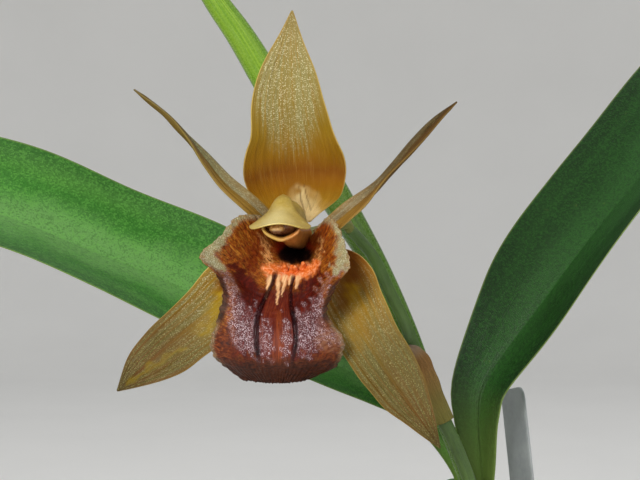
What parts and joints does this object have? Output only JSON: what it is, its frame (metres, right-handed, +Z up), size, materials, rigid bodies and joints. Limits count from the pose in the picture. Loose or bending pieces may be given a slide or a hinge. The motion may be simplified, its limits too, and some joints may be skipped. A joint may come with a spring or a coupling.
{
  "type": "potted coelogyne orchid",
  "caption": "Potted orchid: an open bloom with broad sepals, ribbon petals and a fringed lip on an arching stem, among long leaves and pseudobulbs set in bark in a plain clay pot.",
  "frame": {"origin": "middle of the pot's foot, on the surface that the pot stands on", "axes": "+Z up; the bloom faces -Y; +X to the right as the bloom is seen from the front"},
  "size_m": [0.3338, 0.2199, 0.3062],
  "materials": {
    "clay": "matt unglazed terracotta",
    "bark": "rough chipped bark",
    "rhizome": "dry fibrous creeping stem",
    "pseudobulb": "satin ridged green",
    "leaf": "satin leathery green, paler underneath",
    "young_leaf": "glossy lime green",
    "stem": "satin dark green",
    "sheath": "dry papery scale",
    "tepal": "frosty cream-grey over golden tan, fine lengthwise veins",
    "lip": "maroon and rust with pale net veins and a granular bloom",
    "column": "waxy pale yellow",
    "anther": "matt tan",
    "label": "weathered grey plastic, blank"
  },
  "bodies": {
    "root": {"pot": "clay", "potting_bark": "bark", "rhizome": "rhizome", "pseudobulb_leading": "pseudobulb", "pseudobulb_second": "pseudobulb", "pseudobulb_third": "pseudobulb", "pseudobulb_oldest": "pseudobulb", "new_growth": "stem", "sheath_scale_1": "sheath", "sheath_scale_2": "sheath", "sheath_scale_3": "sheath", "leaf_left": "leaf", "leaf_right": "leaf", "leaf_back_right": "leaf", "leaf_back_left": "leaf", "leaf_side": "leaf", "young_leaf": "young_leaf", "flower_stem": "stem", "stem_bract": "sheath", "plant_label": "label", "ovary": "stem", "dorsal_sepal": "tepal", "lateral_sepal_left": "tepal", "lateral_sepal_right": "tepal", "petal_left": "tepal", "petal_right": "tepal", "lip": "lip", "column": "column", "anther_cap": "anther"}
  },
  "joints": []
}
